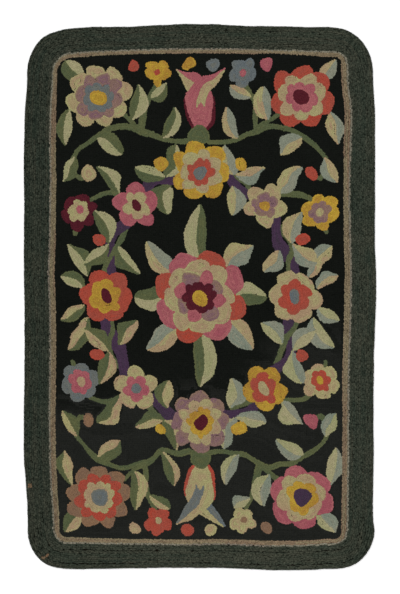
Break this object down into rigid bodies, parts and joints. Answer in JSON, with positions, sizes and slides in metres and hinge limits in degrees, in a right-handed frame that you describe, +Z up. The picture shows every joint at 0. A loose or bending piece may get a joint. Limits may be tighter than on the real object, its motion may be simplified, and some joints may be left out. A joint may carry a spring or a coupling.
{
  "type": "hooked rug",
  "caption": "Flat hooked wool rug with round corners: a dark border, a narrow stripe and a dark field worked with flowers, hooked in rows of loops through a woven ground cloth.",
  "frame": {"origin": "middle of the underside's bounding rectangle, on the floor plane", "axes": "+Y along the rug's length, towards the top end of the design; +X to the design's right; +Z up out of the pile"},
  "size_m": [0.9199, 1.4268, 0.008],
  "materials": {
    "wool_border": "matt heathered wool, very dark green",
    "wool_stripe": "matt wool, uneven tan",
    "wool_ground_black": "matt wool, black",
    "wool_ground_faded": "matt wool, black faded to a green grey",
    "wool_gold": "matt wool, old gold",
    "wool_cream": "matt wool, cream",
    "wool_coral": "matt wool, coral red",
    "wool_pink": "matt wool, dusty pink",
    "wool_maroon": "matt wool, maroon",
    "wool_mauve": "matt wool, mauve",
    "wool_purple": "matt wool, dark purple",
    "wool_blue": "matt wool, slate blue",
    "wool_sage": "matt wool, pale sage",
    "wool_green": "matt wool, olive green",
    "wool_brown": "matt wool, taupe brown",
    "ground_cloth": "plain woven burlap"
  },
  "bodies": {
    "root": {"rug": "wool_border"}
  },
  "joints": []
}
